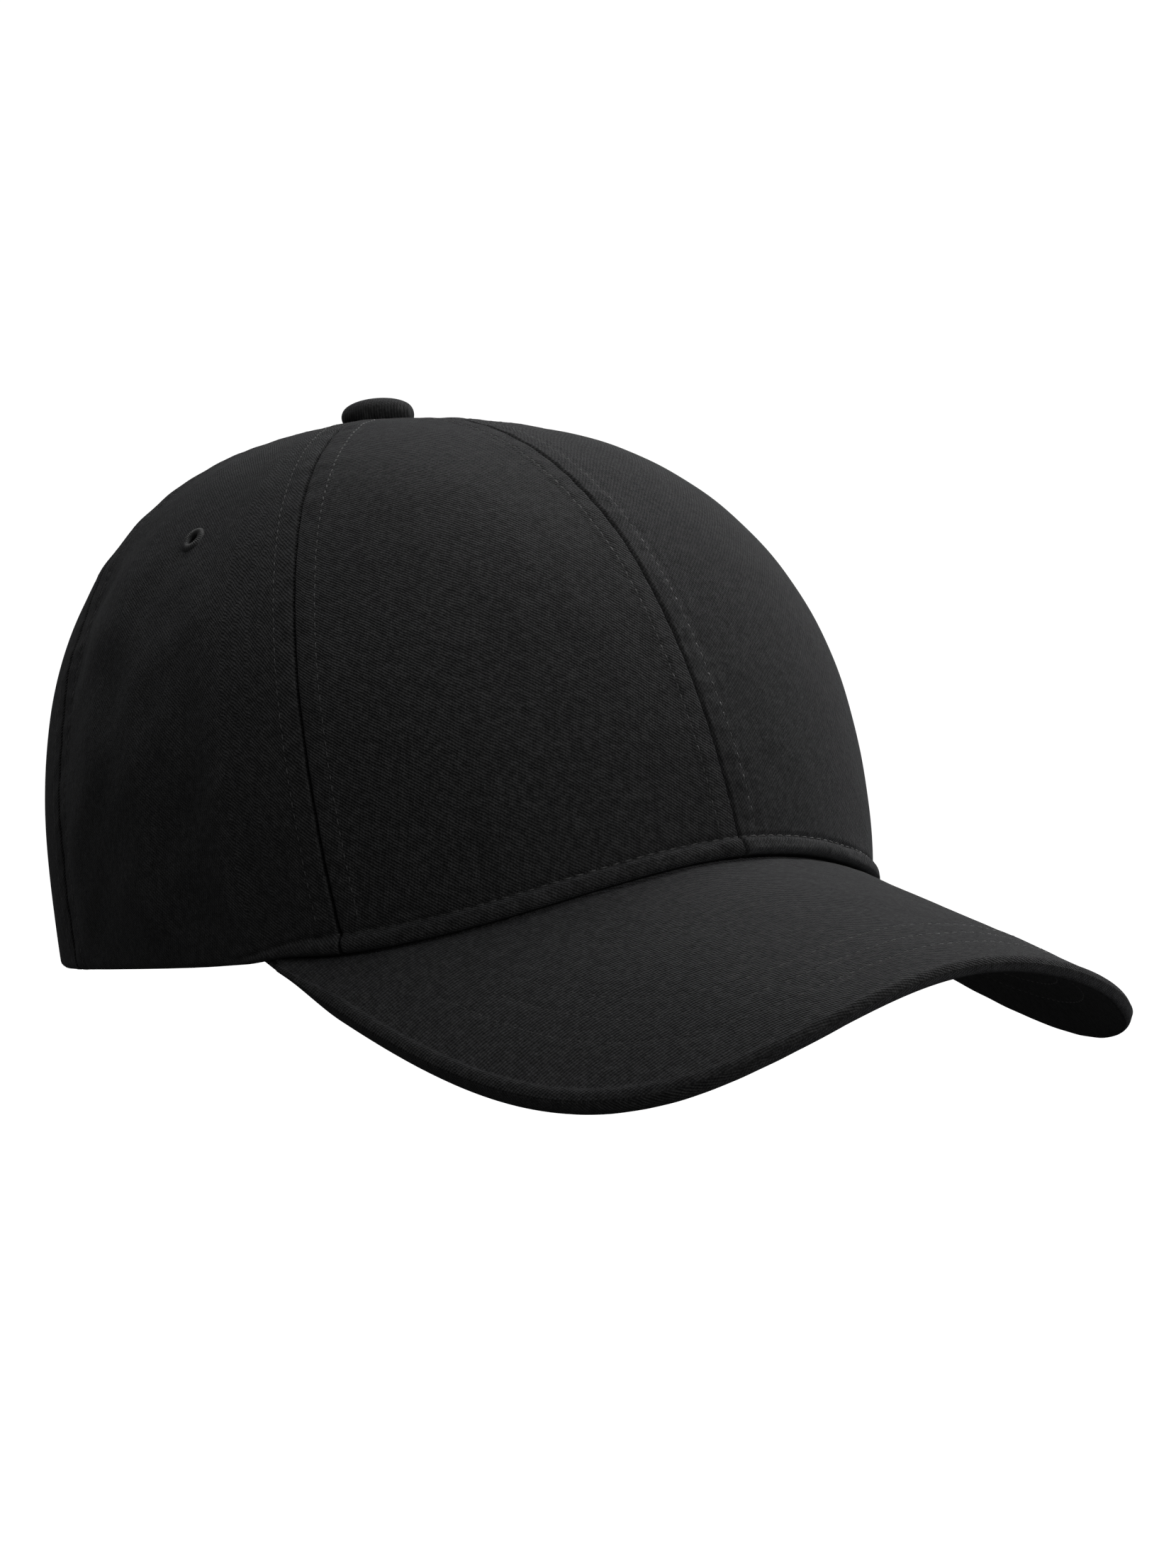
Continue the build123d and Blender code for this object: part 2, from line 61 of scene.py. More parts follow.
TAPE_WIDTH = 15.0

# ---- Sewing ----
STITCH_PITCH, STITCH_LENGTH, THREAD = 2.3, 1.75, 0.2
TOPSTITCH = 4.8          # from a seam to its topstitching
HEM_ROW = 4.2            # from the visor seam to the row above it
VISOR_ROWS = (11.0, 17.0, 23.0)   # from the visor's edge
SEAM_DITCH, SEAM_DITCH_WIDTH = 0.75, 0.32
ALLOWANCE = 0.30         # how far the folded allowance lifts the cloth beside a seam
STITCH_GROOVE, HEM_GROOVE = 0.20, 0.5
ROLL_HEIGHT, ROLL_LOSS = 1.55, 0.4   # of the hem over the visor seam, and its fall towards the tips
HOLE_ALLOWANCE = 0.55    # between an eyelet's bore and the cut cloth

# ---- Thickness of the cloths ----
SHELL, COVER, BACKING, TAPE, BINDING, BAND, LABEL, BUTTON_CLOTH = 0.75, 0.55, 0.5, 0.4, 0.5, 0.6, 0.3, 0.5
BOARD = 1.6
BACKING_DEPTH, TAPE_DEPTH, BINDING_DEPTH, LABEL_DEPTH = 0.98, 1.62, 1.0, 5.62   # inside the wall's face
LABEL_HALF_WIDTH, LABEL_FOOT, LABEL_HEAD = 12.0, 10.0, 30.0
BOARD_INSET, BOARD_FROM_WALL, BOARD_FROM_TIP = 2.6, 3.5, 30.0
BOARD_DEPTH = 0.75
STRAP_HALF_THICKNESS, EDGE_ROW = 0.45, 2.2   # EDGE_ROW is from the strap's edges to its stitching
TAB_RADII, TAB_HEIGHTS, TAB_ANGLES = (76.2, 76.85), (5.0, 21.0), (27.5, 45.0)
TIP_THICKNESS = 1.2      # of the visor at its tips, where board and seam allowances end

ONE_BAND = 0.31416       # scale of a wave texture that gives one band per unit

rng = np.random.default_rng(11)


def smooth(x, low, high):
    """0 below low, 1 above high, and a smooth step between them."""
    t = np.clip((x - low) / (high - low), 0, 1)
    return t * t * (3 - 2 * t)


def hump(x, middle, width):
    return np.exp(-(((x - middle) / width) ** 2))


# ---- Smooth seeded noise, for the fabric's unevenness ----
WAVES = rng.normal(size=(14, 3))
WAVE_PHASES = rng.uniform(0, 2 * np.pi, 14)


def unevenness(points, wavelength):
    """Smooth noise of about unit size over points, with bumps about a wavelength apart."""
    phase = points @ WAVES.T * (2 * np.pi / wavelength / 1.7) + WAVE_PHASES
    return np.sin(phase).sum(-1) / np.sqrt(7.0)


# ---- The crown's surface ----
def reach(share, rim, lean, shoulder):
    rest = 1 - share
    return rest**3 * rim + 3 * rest**2 * share * (rim + lean) + 3 * rest * share**2 * shoulder


def wall_height(share, depth=0.0):
    rest = 1 - share
    return 3 * rest**2 * share * WALL_HANDLE + (3 * rest * share**2 + share**3) * (CROWN_HEIGHT - depth)


SHARES = np.linspace(0, 1, 4001)
HEIGHTS = wall_height(SHARES)


def share_at(height):
    return np.interp(height, HEIGHTS, SHARES)


def wall_sizes(share, depth=0.0):
    """Half width, half length, middle, and the rise (height over the crown's height) of the crown's outline at
    a share.
    """
    side = reach(share, RIM_WIDTH / 2 - depth, SIDE_LEAN, SIDE_SHOULDER - depth)
    front = reach(share, RIM_LENGTH / 2 + APEX_SETBACK - depth, FRONT_LEAN, FRONT_SHOULDER - depth)
    back = reach(share, RIM_LENGTH / 2 - APEX_SETBACK - depth, BACK_LEAN, BACK_SHOULDER - depth)
    rise = wall_height(share, depth) / CROWN_HEIGHT
    return side, (back + front) / 2, APEX_SETBACK + (back - front) / 2, rise


def crown(share, angle, depth=0.0):
    """Points of the crown in mm. Angles are in degrees from the front, towards the wearer's left."""
    share, angle = np.broadcast_arrays(np.asarray(share, float), np.radians(np.asarray(angle, float)))
    side, half, middle, rise = wall_sizes(share, depth)
    across, along = np.sin(angle), np.cos(angle)
    square = np.where(along > 0, FRONT_SQUARE + FRONT_SQUARE_GAIN * rise, BACK_SQUARE + BACK_SQUARE_GAIN * rise)
    power = 2 / square
    x = side * np.sign(across) * np.abs(across) ** power
    y = middle - half * np.sign(along) * np.abs(along) ** power
    return np.stack([x, y, wall_height(share, depth)], -1)


def unit(v):
    return v / np.maximum(np.linalg.norm(v, axis=-1, keepdims=True), 1e-12)


def crown_normal(share, angle):
    around = crown(share, np.asarray(angle) + 0.6) - crown(share, np.asarray(angle) - 0.6)
    low, high = np.clip(share - 0.004, 0, 1), np.clip(share + 0.004, 0, 1)
    return unit(np.cross(around, crown(high, angle) - crown(low, angle)))


def even_angles(first, last, count, share=0.3, ends=0.0):
    """Angles that are evenly spread along the wall, or closer together towards both ends."""
    fine = np.linspace(first, last, 1500)
    points = crown(share, fine)
    run = run_lengths(points, 0)
    step = np.linspace(0, 1, count)
    step = (1 - ends) * step + ends * (1 - np.cos(np.pi * step)) / 2
    return np.interp(step * run[-1], run, fine)


# ---- The visor's surface ----
def visor_height(x, y, depth=0.0):
    ahead = -y - RIM_LENGTH / 2
    radius = ARCH_RADIUS - ARCH_TAPER * ahead
    centre = VISOR_ROOT - math.tan(VISOR_SLOPE) * ahead - radius / math.cos(VISOR_SLOPE)
    return centre + np.sqrt(np.maximum((radius - depth) ** 2 - x**2, 1)) / math.cos(VISOR_SLOPE)


def meeting_share(angle, depth=0.0, crown_depth=0.0):
    """Share at which the wall meets the visor's surface at each angle, or 0 past the visor's tips."""
    angle = np.atleast_1d(angle)
    shares = np.linspace(0, 0.12, 600)
    points = crown(shares[:, None], angle[None, :], crown_depth)
    above = points[..., 2] > visor_height(points[..., 0], points[..., 1], depth)
    found = shares[above.argmax(0)]
    return found * (1 - smooth(np.abs(angle), 63, 73))


def run_lengths(points, axis):
    steps = np.linalg.norm(np.diff(points, axis=axis), axis=-1)
    return np.concatenate([np.zeros_like(np.take(steps, [0], axis)), np.cumsum(steps, axis)], axis)


def make_object(name, verts, faces, slot, body="crown", uvs=None, replaced=()):
    """One smooth mesh object on a CAD body, from points and cloth coordinates in millimetres."""
    mesh = bpy.data.meshes.new(name)
    mesh.from_pydata((verts * MM).tolist(), [], faces)
    if uvs is not None:
        layer = mesh.uv_layers.new(name="UVMap")
        corners = np.zeros(len(mesh.loops), np.int32)
        mesh.loops.foreach_get("vertex_index", corners)
        layer.data.foreach_set("uv", (uvs[corners] * MM).astype(np.float32).ravel())
    mesh.polygons.foreach_set("use_smooth", np.ones(len(mesh.polygons), bool))
    mesh.materials.append(MATERIALS[slot])
    obj = bpy.data.objects.new(name, mesh)
    bpy.context.scene.collection.objects.link(obj)
    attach(obj, body)
    if replaced:
        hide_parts(*replaced)
    return obj


def tube_faces(rows, cols):
    """Faces of a closed tube, its rows round the section and its columns along it, capped at both ends."""
    grid = np.arange(rows * cols).reshape(rows, cols)
    after = np.roll(grid, -1, 0)
    faces = np.stack([grid[:, :-1], grid[:, 1:], after[:, 1:], after[:, :-1]], -1).reshape(-1, 4).tolist()
    return faces + [grid[:, 0].tolist(), grid[::-1, -1].tolist()]


def cloth(name, points, slot, thickness, outward, replaced, keep=None, uvs=None, declare=True, wrap=False):
    """A sheet of fabric from a grid of points on its outer face, given its thickness inwards."""
    rows, cols = points.shape[:2]
    if uvs is None:
        across, up = run_lengths(points, 1), run_lengths(points, 0)
        uvs = np.stack([across - across[:, [cols // 2]], up], -1)
    index = np.arange(rows * cols).reshape(rows, cols)
    if wrap:
        index = np.hstack([index, index[:, :1]])
    faces = np.stack([index[:-1, :-1], index[:-1, 1:], index[1:, 1:], index[1:, :-1]], -1).reshape(-1, 4)
    verts = points.reshape(-1, 3)
    a, b, c = (verts[faces[:, k]] for k in (0, 1, 2))
    facing = (np.cross(b - a, c - a) * outward.reshape(-1, 3)[faces[:, 0]]).sum()
    if facing < 0:
        faces = faces[:, ::-1]
    if keep is not None:
        faces = faces[keep.reshape(-1)]
    used, packed = np.unique(faces, return_inverse=True)
    obj = make_object(name, verts[used], packed.reshape(-1, 4).tolist(), slot, uvs=uvs.reshape(-1, 2)[used],
                      replaced=replaced)
    solidify = obj.modifiers.new("thickness", "SOLIDIFY")
    solidify.thickness = thickness * MM
    solidify.offset = -1
    if declare:
        width = run_lengths(points, 1)[:, -1].max() * MM
        length = run_lengths(points, 0)[-1].max() * MM
    return obj


STITCH_SIDES = 6
STITCH_STATIONS = np.array([-1.0, -0.93, -0.72, -0.35, 0.0, 0.35, 0.72, 0.93, 1.0])


def stitches(name, rows, slot="eyelet_thread", body="crown", pitch=STITCH_PITCH, length=STITCH_LENGTH,
             thread=THREAD, sunk=0.14):
    """Rows of single stitches, each a closed bead of thread whose ends dive into the cloth."""
    verts, faces, base = [], [], 0
    for line, normals in rows:
        run = run_lengths(line, 0)
        count = int((run[-1] - pitch * 0.4) / pitch)
        if count < 1:
            continue
        centres = (np.arange(count) + 0.5) * run[-1] / count + rng.normal(0, 0.05, count)
        along = centres[:, None] + STITCH_STATIONS * length / 2
        at = np.stack([np.interp(along, run, line[:, k]) for k in range(3)], -1)
        up = unit(np.stack([np.interp(along, run, normals[:, k]) for k in range(3)], -1))
        tangent = unit(np.gradient(at, axis=1))
        side = unit(np.cross(up, tangent))
        skew = rng.normal(0, 0.05, count)[:, None, None] * STITCH_STATIONS[None, :, None]
        bulge = np.sqrt(np.clip(1 - STITCH_STATIONS**4, 0.02, 1))[None, :, None]
        lift = (thread * 0.75 * (1 - STITCH_STATIONS**2) - sunk)[None, :, None]
        centre = at + up * lift + side * skew
        turn = np.linspace(0, 2 * np.pi, STITCH_SIDES, endpoint=False)
        ring = (centre[:, :, None] + thread * bulge[:, :, None] * (
            side[:, :, None] * np.cos(turn)[:, None] + up[:, :, None] * np.sin(turn)[:, None] * 0.8))
        stations = len(STITCH_STATIONS)
        for k in range(count):
            verts.append(ring[k].reshape(-1, 3))
            grid = base + np.arange(stations * STITCH_SIDES).reshape(stations, STITCH_SIDES)
            after = np.roll(grid, -1, 1)
            faces += np.stack([grid[:-1], after[:-1], after[1:], grid[1:]], -1).reshape(-1, 4).tolist()
            faces.append(grid[0][::-1].tolist())
            faces.append(grid[-1].tolist())
            base += stations * STITCH_SIDES
    make_object(name, np.concatenate(verts), faces, slot, body)


# ---- Materials ----
class Shading:
    """A new material's node tree, with short ways to add to it."""

    def __init__(self, name, roughness=None, specular=None):
        self.material = bpy.data.materials.new(name)
        self.material.use_nodes = True
        self.tree = self.material.node_tree
        self.shader = next(n for n in self.tree.nodes if n.type == "BSDF_PRINCIPLED")
        self.place = self.add("ShaderNodeTexCoord").outputs["Object"]
        if roughness is not None:
            self.set("Roughness", roughness)
        if specular is not None:
            self.set("Specular IOR Level", specular)

    def set(self, socket, value):
        self.shader.inputs[socket].default_value = value

    def link(self, output, node, socket):
        self.tree.links.new(output, node.inputs[socket])

    def add(self, kind, **values):
        node = self.tree.nodes.new(kind)
        for key, value in values.items():
            if key in node.inputs:
                node.inputs[key].default_value = value
            else:
                setattr(node, key, value)
        return node

    def calc(self, operation, first, second):
        node = self.tree.nodes.new("ShaderNodeMath")
        node.operation = operation
        for socket, value in zip(node.inputs, (first, second)):
            if isinstance(value, (int, float)):
                socket.default_value = value
            else:
                self.tree.links.new(value, socket)
        return node.outputs[0]

    def noise(self, scale, detail, roughness, vector=None):
        """Noise over the object's own space, or over a vector, with its scale in bumps per metre."""
        node = self.add("ShaderNodeTexNoise", Scale=scale, Detail=detail, Roughness=roughness)
        self.link(vector or self.place, node, "Vector")
        return node.outputs["Fac"]

    def relief(self, height, strength, depth):
        """Raises the surface by a height field of a depth in millimetres."""
        bump = self.add("ShaderNodeBump", Strength=strength, Distance=depth * MM)
        self.link(height, bump, "Height")
        self.link(bump.outputs[0], self.shader, "Normal")

    def color(self, tone, stops):
        """Colours the surface by a tone, through stops of (position, base colour, factor)."""
        node = self.add("ShaderNodeValToRGB")
        ramp = node.color_ramp
        while len(ramp.elements) > 1:
            ramp.elements.remove(ramp.elements[-1])
        for k, (position, base, factor) in enumerate(stops):
            stop = ramp.elements.new(position) if k else ramp.elements[0]
            stop.position, stop.color = position, (*[min(c * factor, 1) for c in base], 1)
        self.link(tone, node, "Fac")
        self.link(node.outputs[0], self.shader, "Base Color")


def fabric(name, color, pitch=0.6, lean=48.0, rough=0.9, sheen=0.04, relief=0.34, plain=False, painted_groove_shade=0.75,
           sheen_tint=(0.9, 0.92, 1.0)):
    """Woven cloth: diagonal twill ribs of a real pitch, or a plain weave, with yarns, fuzz, uneven dye, and
    painted shade in the weave's grooves.
    """
    shading = Shading(name, rough, 0.14)
    calc = shading.calc
    coords = shading.add("ShaderNodeUVMap", uv_map="UVMap").outputs[0]

    def wave(angle, period, distortion, detail_scale):
        turn = shading.add("ShaderNodeMapping", Rotation=(0, 0, math.radians(angle)), Scale=(1 / period,) * 3)
        shading.link(coords, turn, "Vector")
        bands = shading.add("ShaderNodeTexWave", wave_type="BANDS", bands_direction="X", wave_profile="SIN",
                            Scale=ONE_BAND, Distortion=distortion, Detail=1.0)
        bands.inputs["Detail Scale"].default_value = detail_scale
        shading.link(turn.outputs[0], bands, "Vector")
        return bands.outputs["Fac"]

    if plain:
        first, second = wave(0, pitch * MM, 0.5, 1.0), wave(90, pitch * MM, 0.5, 1.0)
        weave = calc("MAXIMUM", calc("MULTIPLY", first, 0.95), second)
    else:
        ribs = wave(lean, pitch * MM, 2.4, 1.1)
        yarns = wave(lean - 68, pitch * 1.05 * MM, 1.8, 1.1)
        weave = calc("ADD", calc("MULTIPLY", ribs, 0.72), calc("MULTIPLY", yarns, 0.28))
    fuzz = shading.noise(2600.0, 3.0, 0.65)
    slub = shading.noise(700.0, 4.0, 0.8)
    patches = shading.noise(28.0, 3.0, 0.55)
    height = calc("ADD", calc("MULTIPLY", weave, 0.62), calc("MULTIPLY", fuzz, 0.3))
    shading.relief(calc("ADD", height, calc("MULTIPLY", slub, 1.3)), 1.0, relief)
    grain = shading.add("ShaderNodeMapRange")
    grain.inputs["From Min"].default_value, grain.inputs["From Max"].default_value = 0.38, 0.62
    shading.link(slub, grain, "Value")
    # Painted shade and light: the weave's colour follows its relief, darker in its grooves and lighter on its
    # raised ribs
    tone = calc("MULTIPLY", weave, 0.48 * painted_groove_shade / 0.75)
    tone = calc("ADD", tone, calc("MULTIPLY", grain.outputs[0], 0.46))
    tone = calc("ADD", tone, calc("MULTIPLY", patches, 0.1))
    shading.color(tone, [(0.08, color, 0.22), (0.52, color, 1.0), (1.0, color, 2.7)])
    shading.set("Sheen Weight", sheen)
    shading.set("Sheen Roughness", 0.45)
    shading.set("Sheen Tint", (*sheen_tint, 1))
    return shading.material


def thread_material(name, color):
    """Twisted sewing thread."""
    shading = Shading(name, 0.55, 0.35)
    fibres = shading.noise(3200.0, 3.0, 0.6)
    shading.relief(fibres, 0.8, 0.05)
    shading.color(fibres, [(0.3, color, 0.55), (0.8, color, 1.5)])
    shading.set("Sheen Weight", 0.05)
    return shading.material


def foam_material(name, color):
    """Open-cell foam."""
    shading = Shading(name, 0.92, 0.2)
    cells = shading.add("ShaderNodeTexVoronoi", Scale=1500.0)
    shading.link(shading.place, cells, "Vector")
    shading.relief(cells.outputs["Distance"], 0.9, 0.3)
    shading.color(cells.outputs["Distance"], [(0.0, color, 0.5), (0.7, color, 1.3)])
    return shading.material


def metal_material(name, color, rough, brush=1.0):
    """Brushed or pressed metal with fine grain, dulled patches and handling marks."""
    shading = Shading(name)
    stretch = shading.add("ShaderNodeMapping", Scale=(1, 1, 22 * brush + 1))
    shading.link(shading.place, stretch, "Vector")
    grain = shading.noise(420.0, 5.0, 0.6, stretch.outputs[0])
    patches = shading.noise(130.0, 3.0, 0.6)
    shading.relief(grain, 0.35, 0.03)
    shading.color(patches, [(0.35, color, 0.6), (0.6, color, 1.0), (0.85, color, 1.35)])
    level = shading.calc("ADD", shading.calc("MULTIPLY", grain, 0.25), rough - 0.12)
    shading.link(level, shading.shader, "Roughness")
    shading.set("Metallic", 1.0)
    return shading.material


def board_material(name, color):
    """Pressed plastic board with a faint pebbled skin."""
    shading = Shading(name, 0.5)
    skin = shading.noise(900.0, 2.0, 0.5)
    shading.relief(skin, 0.4, 0.06)
    shading.color(skin, [(0.3, color, 0.93), (0.7, color, 1.0)])
    return shading.material


BLACK = (0.0105, 0.0105, 0.0106)
MATERIALS = {
    "shell_twill": fabric("shell_twill", BLACK),
    "visor_twill": fabric("visor_twill", BLACK, lean=62.0),
    "button_twill": fabric("button_twill", [c * 0.8 for c in BLACK], relief=0.2),
    "strap_twill": fabric("strap_twill", BLACK, lean=45.0),
    "sweatband_twill": fabric("sweatband_twill", (0.016, 0.016, 0.0175), pitch=0.5, sheen=0.12, relief=0.12),
    "seam_tape": fabric("seam_tape", (0.019, 0.019, 0.021), pitch=0.7, plain=True, relief=0.15),
    "buckram": fabric("buckram", (0.028, 0.028, 0.030), pitch=1.25, plain=True, relief=0.35, painted_groove_shade=1.0,
                      sheen=0.1, rough=0.7),
    "woven_label": fabric("woven_label", (0.62, 0.62, 0.60), pitch=0.28, lean=12.0, relief=0.06, sheen=0.2,
                          sheen_tint=(1, 1, 1)),
    "eyelet_thread": thread_material("eyelet_thread", (0.0062, 0.0062, 0.0064)),
    "foam": foam_material("foam", (0.045, 0.045, 0.047)),
    "visor_board": board_material("visor_board", (0.6, 0.6, 0.58)),
    "steel": metal_material("steel", (0.42, 0.42, 0.41), 0.42, brush=0.0),
    "clasp_metal": metal_material("clasp_metal", (0.20, 0.19, 0.185), 0.34),
}
for part in frame["record"]["subparts"]:
    mesh = frame["nodes"][part["node"]].data
    mesh.materials.clear()
    mesh.materials.append(MATERIALS[part["material_slot"]])

# ---- Crown panels ----
TOP_SHARE = 0.985
PANEL_ROWS = np.concatenate([np.linspace(0, 0.045, 20), np.linspace(0.045, 1, 132)[1:]])


def opening_line(turn, margin=0.0, lowest=0.0):
    """Shares and angles of a line round the rear opening, a margin outside its edge, on turns from its top."""
    share = share_at(np.maximum((OPENING_HEIGHT + margin) * np.cos(turn), lowest))
    across, _, _, rise = wall_sizes(share)
    power = 2 / (BACK_SQUARE + BACK_SQUARE_GAIN * rise)
    sine = np.clip((OPENING_HALF_WIDTH + margin) * np.abs(np.sin(turn)) / across, 0, 1) ** (1 / power)
    off_centre = np.degrees(np.arcsin(sine))
    return share, np.where(turn < 0, off_centre - 180, 180 - off_centre)


def panel_surface(share, angle, seams, hem, tuck):
    """Points of a sewn panel and its seams' relief. hem is the distance up from the panel's lower edge."""
    base, normal = crown(share, angle), crown_normal(share, angle)
    near = np.min([np.linalg.norm(base - crown(share, s), axis=-1) for s in seams], axis=0)
    run = base[..., 2] + 0.35 * base[..., 1]
    pucker = np.sin(run * 2 * np.pi / 6.2 + 1.5 * unevenness(base, 30)) * 0.09 + unevenness(base, 7) * 0.05
    fade = smooth(np.linalg.norm(base[..., :2] - (0, APEX_SETBACK), axis=-1), 6, 26)
    offset = -SEAM_DITCH * hump(near, 0, SEAM_DITCH_WIDTH)
    offset += ALLOWANCE * smooth(near, 0.1, 0.7) * (1 - smooth(near, TOPSTITCH + 0.1, TOPSTITCH + 1.2))
    offset -= STITCH_GROOVE * hump(near, TOPSTITCH, 0.42) * fade
    offset += 0.10 * hump(near, TOPSTITCH + 2.4, 1.6) + pucker * hump(near, 3.0, 3.4)
    offset += 0.17 * unevenness(base, 46) + 0.05 * unevenness(base, 15)
    side_share = smooth(np.abs(angle), 62, 78) * (1 - smooth(np.abs(angle), 104, 122))
    offset += side_share * (0.55 * unevenness(base * (1, 1, 0.25), 24) + 0.25 * unevenness(base, 13)) * smooth(
        hem, 1, 14) * (1 - smooth(base[..., 2], 70, 105))
    # The hem roll over the visor seam narrows to nothing past the visor's tips
    front = 1 - smooth(np.abs(angle), 70, 79)
    roll_height = HEM_ROW * (1 - 0.75 * smooth(np.abs(angle), 58, 78))
    climb = np.clip(hem / roll_height, 0, 1)
    roll = ROLL_HEIGHT - ROLL_LOSS * smooth(np.abs(angle), 58, 76)
    roll = roll * np.sqrt(np.clip(np.sin(np.pi * climb**0.72), 0, 1))
    roll += pucker * 1.6 * hump(hem, 3.0, 1.8) - HEM_GROOVE * hump(hem, roll_height, 0.5)
    offset += front * (roll - 1.3 * hump(hem, 0, 0.5))
    offset -= (1 - front) * tuck * np.clip(1 - hem / 1.5, 0, 1) ** 2
    return base + normal * offset[..., None], normal


PANELS = {"front": (0.0, SIDE_SEAM), "side": (SIDE_SEAM, REAR_SEAM), "rear": (REAR_SEAM, REAR_CENTRE)}
eyelet_seats = {}
for side, side_name in ((1, "left"), (-1, "right")):
    for place, (first, last) in PANELS.items():
        if place == "rear":
            edge_shares, edge_angles = opening_line(np.linspace(0, np.pi / 2, 70))
            edge_angles = side * edge_angles
            rest = even_angles(edge_angles[-1], side * first, 46, ends=0.5)[1:]
            angles = np.concatenate([edge_angles, rest])
            bottoms = np.concatenate([edge_shares, np.zeros(len(rest))])
        else:
            angles = even_angles(side * first, side * last, 124, ends=0.62)
            bottoms = meeting_share(angles)
        share = bottoms[None, :] + (TOP_SHARE - bottoms[None, :]) * PANEL_ROWS[:, None]
        angle = np.broadcast_to(angles[None, :], share.shape)
        hem = run_lengths(crown(share, angle), 0)
        points, normal = panel_surface(share, angle, (side * first, side * last), hem, 0.9)
        keep = None
        if place in EYELETS:
            eyelet_at = share_at(EYELET_HEIGHT), np.array(side * EYELETS[place])
            spot = crown(*eyelet_at)
            middle = (points[:-1, :-1] + points[1:, 1:]) / 2
            keep = np.linalg.norm(middle - spot, axis=-1) > EYELET_BORE + HOLE_ALLOWANCE
            eyelet_seats[f"{place}_{side_name}_eyelet"] = (spot, crown_normal(*eyelet_at))
        cloth(f"shell_{place}_{side_name}", points, "shell_twill", SHELL, normal, keep=keep,
              replaced=[f"{place}_{side_name}_panel"])

# ---- Stitching of the crown ----
SEAMS = {"front_centre": 0.0, "left_side": SIDE_SEAM, "right_side": -SIDE_SEAM, "left_rear": REAR_SEAM,
         "right_rear": -REAR_SEAM, "rear_centre": REAR_CENTRE}


def beside_seam(shares, seam, offset):
    """Angles of a line that runs a set distance to one side of a seam."""
    low, high = np.zeros(len(shares)), np.full(len(shares), 60.0)
    anchor = crown(shares, seam)
    for _ in range(40):
        middle = (low + high) / 2
        gap = np.linalg.norm(crown(shares, seam + np.sign(offset) * middle) - anchor, axis=-1)
        low, high = np.where(gap < abs(offset), middle, low), np.where(gap < abs(offset), high, middle)
    return seam + np.sign(offset) * (low + high) / 2


def sewn_line(shares, angles):
    """A line on the sewn panels' face, with its normals."""
    hem = np.maximum(crown(shares, angles)[:, 2] - wall_height(meeting_share(angles)), 0)
    return panel_surface(shares, angles, SEAMS.values(), hem, 0.0)


for seam_name, seam in SEAMS.items():
    rows = []
    for offset in (-TOPSTITCH, TOPSTITCH):
        start = share_at(OPENING_HEIGHT + 1.0) if seam == REAR_CENTRE else 0.0
        shares = np.linspace(start + 0.004, 0.9, 400)
        angles = beside_seam(shares, seam, offset)
        if abs(seam) < TIP_ANGLE:
            keep = shares > meeting_share(angles) + 0.03
            shares, angles = shares[keep], angles[keep]
        rows.append(sewn_line(shares, angles))
    stitches(f"topstitch_{seam_name}", rows)


def level_line(angles, climb):
    """Shares of a line that runs a set distance up the wall from the panels' lower edge."""
    shares = meeting_share(angles)
    steps = shares[:, None] + np.linspace(0, 0.12, 400)
    run = run_lengths(crown(steps, angles[:, None]), 1)
    return np.array([np.interp(climb, run[k], steps[k]) for k in range(len(angles))])


angles = even_angles(-58.5, 58.5, 500, share=0.05)
stitches("topstitch_visor_seam", [sewn_line(level_line(angles, HEM_ROW), angles)], pitch=2.6, length=1.9,
         thread=0.22)

rows = []
for margin in (2.0, 6.2):
    share, angles = opening_line(np.radians(np.linspace(-86, 86, 500)), margin)
    rows.append(sewn_line(share, angles))
stitches("topstitch_rear_opening", rows)

# ---- Eyelets: thread wound round a hole ----
WRAPS = 34
for eyelet_name, (spot, normal) in eyelet_seats.items():
    across = unit(np.cross(normal, (0, 0, 1.0)))
    up = np.cross(across, normal)
    around = np.linspace(0, 2 * np.pi, WRAPS * 6, endpoint=False)
    round_it = np.linspace(0, 2 * np.pi, 20, endpoint=False)
    middle, half = (EYELET_RADIUS + EYELET_BORE) / 2, (EYELET_RADIUS - EYELET_BORE) / 2
    ridge = 1 + 0.16 * np.abs(np.sin(around * WRAPS / 2))[None, :]
    outer = 1 + 0.07 * np.sin(around * 7 + 1.0)[None, :] * np.maximum(np.cos(round_it), 0)[:, None]
    radial = middle + half * 1.05 * np.cos(round_it)[:, None] * outer
    lift = -0.2 + 1.0 * np.sin(round_it)[:, None] * ridge
    flat = np.cos(around)[None, :, None] * across + np.sin(around)[None, :, None] * up
    points = spot + flat * radial[..., None] + normal * lift[..., None]
    grid = np.arange(points.shape[0] * points.shape[1]).reshape(points.shape[:2])
    down, right = np.roll(grid, -1, 0), np.roll(grid, -1, 1)
    faces = np.stack([down, np.roll(down, -1, 1), right, grid], -1).reshape(-1, 4).tolist()
    uvs = np.stack([points[..., 0], points[..., 2]], -1).reshape(-1, 2)
    make_object(f"thread_{eyelet_name}", points.reshape(-1, 3), faces, "eyelet_thread", uvs=uvs,
                replaced=[eyelet_name])

# ---- Inside: backing, seam tapes, binding ----
for side, side_name in ((1, "left"), (-1, "right")):
    angles = even_angles(side * 0.4, side * (SIDE_SEAM - 0.4), 60)
    bottoms = meeting_share(angles)
    share = bottoms + (0.95 - bottoms) * np.linspace(0.01, 1, 90)[:, None]
    angle = np.broadcast_to(angles, share.shape)
    normal = crown_normal(share, angle)
    base = crown(share, angle)
    points = base - normal * (BACKING_DEPTH + 0.06 * unevenness(base, 18)[..., None])
    cloth(f"backing_{side_name}", points, "buckram", BACKING, normal, replaced=[f"front_{side_name}_buckram"])

